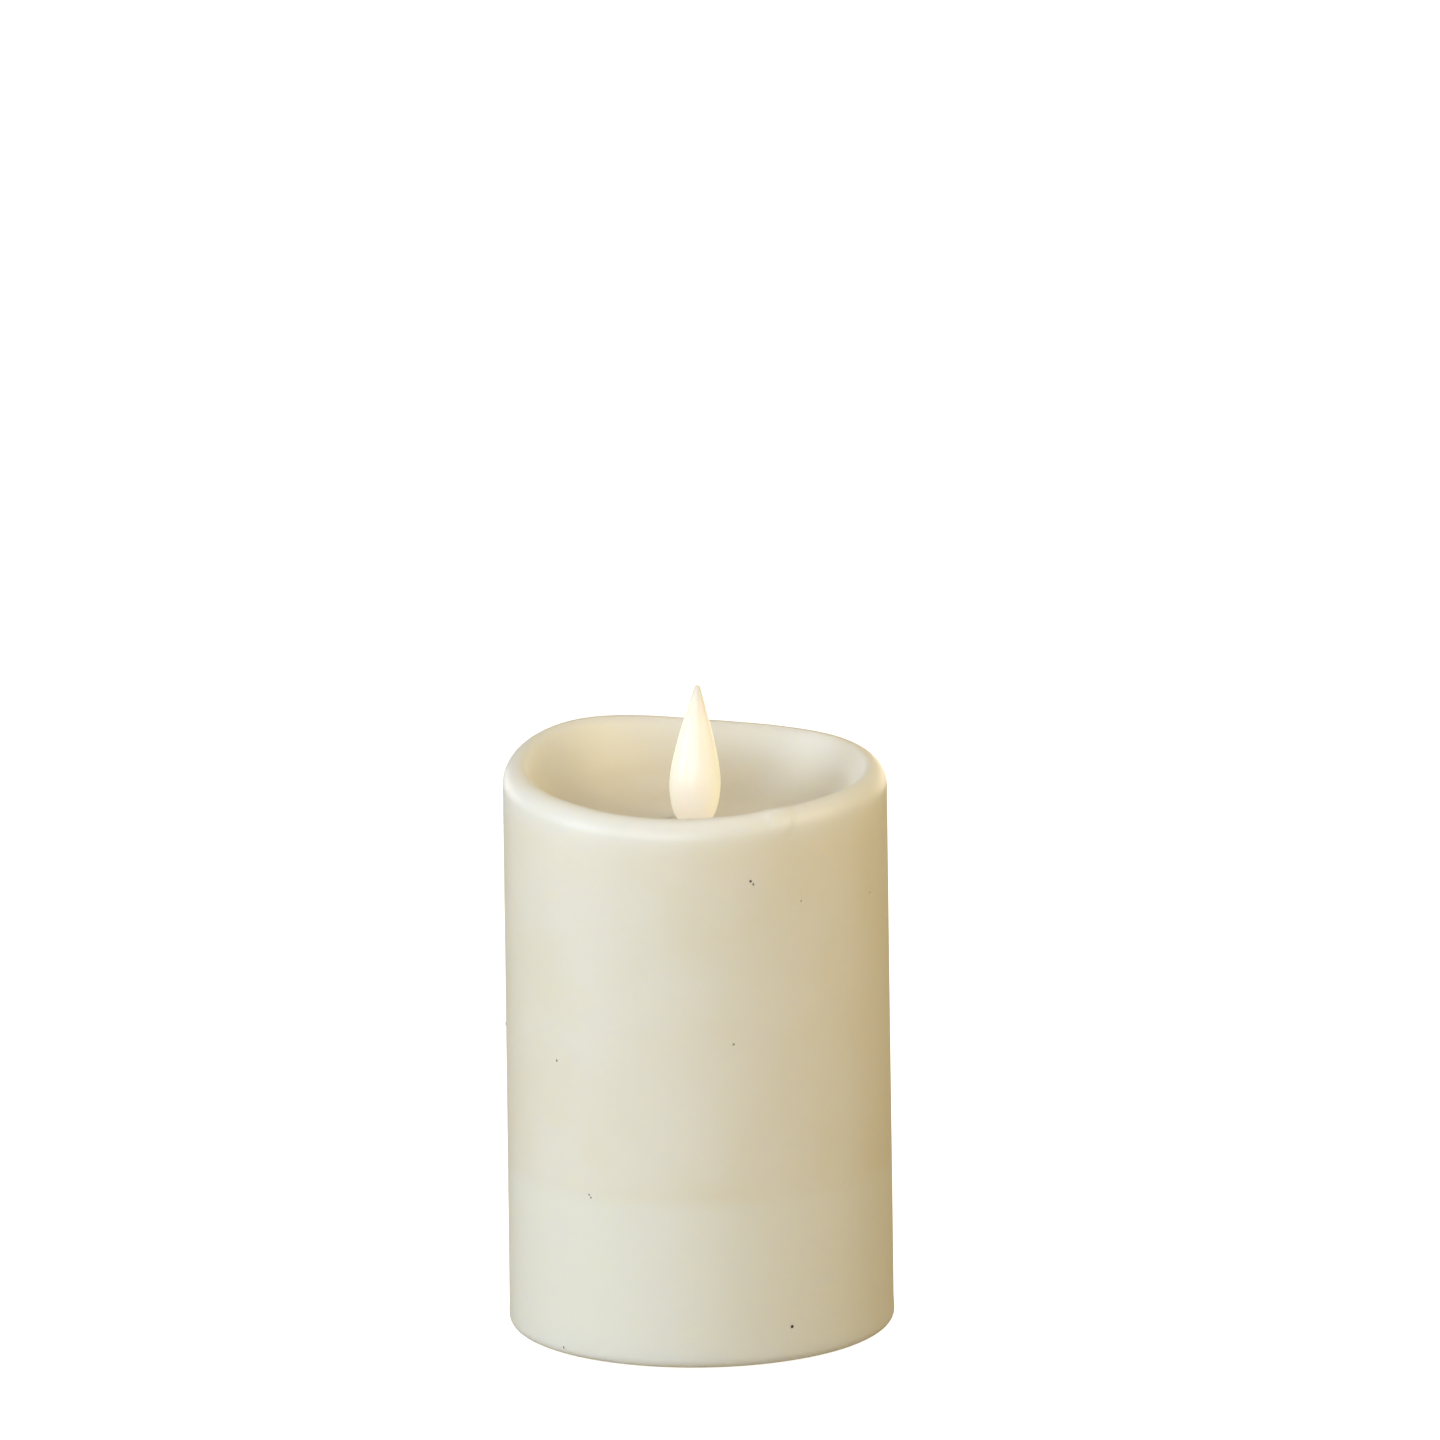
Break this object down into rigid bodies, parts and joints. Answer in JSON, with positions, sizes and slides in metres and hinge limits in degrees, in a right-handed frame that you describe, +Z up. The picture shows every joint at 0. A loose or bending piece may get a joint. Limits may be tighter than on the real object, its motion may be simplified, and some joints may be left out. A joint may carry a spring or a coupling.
{
  "type": "flameless led candle",
  "caption": "Hollow ivory wax pillar with a wavy melted rim, a lit plastic teardrop flame, and a battery base with a hinged door and a slide switch.",
  "frame": {"origin": "on the table, under the middle of the candle", "axes": "+Z up along the candle, front of the candle towards -Y, battery cells along X"},
  "size_m": [0.0825, 0.0824, 0.1396],
  "materials": {
    "ivory_wax": "satin",
    "lit_flame": "satin",
    "ivory_plastic": "satin",
    "white_plastic": "satin",
    "led_epoxy": "gloss",
    "tinned_wire": "satin",
    "red_insulation": "satin",
    "black_insulation": "satin",
    "white_insulation": "satin",
    "zinc_screw": "satin",
    "clear_rubber": "matte",
    "hot_glue": "gloss",
    "cell_jacket": "satin",
    "nickel_plate": "satin",
    "green_board": "satin",
    "black_epoxy": "matte",
    "resistor_body": "gloss",
    "capacitor_sleeve": "gloss",
    "solder": "satin",
    "black_knob": "matte"
  },
  "bodies": {
    "candle": {"wax_shell": "ivory_wax", "flame_shell": "lit_flame", "flame_seat": "ivory_plastic", "stem_tube": "white_plastic", "led_lens": "led_epoxy", "led_leads": "tinned_wire", "led_wire_red": "red_insulation", "led_wire_black": "black_insulation", "base_cup": "ivory_plastic", "base_cover": "ivory_plastic", "cover_screws": "zinc_screw", "foot_pads": "clear_rubber", "glue_beads": "hot_glue", "battery_left": "cell_jacket", "battery_right": "cell_jacket", "battery_caps": "nickel_plate", "contact_positive": "nickel_plate", "contact_negative": "nickel_plate", "contact_bridge": "nickel_plate", "contact_spring": "nickel_plate", "bridge_spring": "nickel_plate", "battery_wire_red": "red_insulation", "battery_wire_black": "black_insulation", "circuit_board": "green_board", "board_screws": "zinc_screw", "timer_chip": "black_epoxy", "chip_legs": "tinned_wire", "crystal_can": "nickel_plate", "resistors": "resistor_body", "capacitor": "capacitor_sleeve", "solder_joints": "solder", "switch_case": "zinc_screw", "switch_pins": "tinned_wire", "switch_wire_common": "white_insulation", "switch_wire_on": "white_insulation", "switch_wire_timer": "white_insulation"},
    "door": {"battery_door": "ivory_plastic"},
    "switch_knob": {"switch_slider": "black_knob"}
  },
  "joints": [
    {"name": "door_hinge", "type": "hinge", "parent": "candle", "child": "door", "pos_m": [-0.0294, 0, 0.0014], "axis": [0, 1, 0], "range_deg": [0, 95]},
    {"name": "switch_slide", "type": "slide", "parent": "candle", "child": "switch_knob", "axis": [1, 0, 0], "range_m": [-0.002, 0.002]}
  ]
}
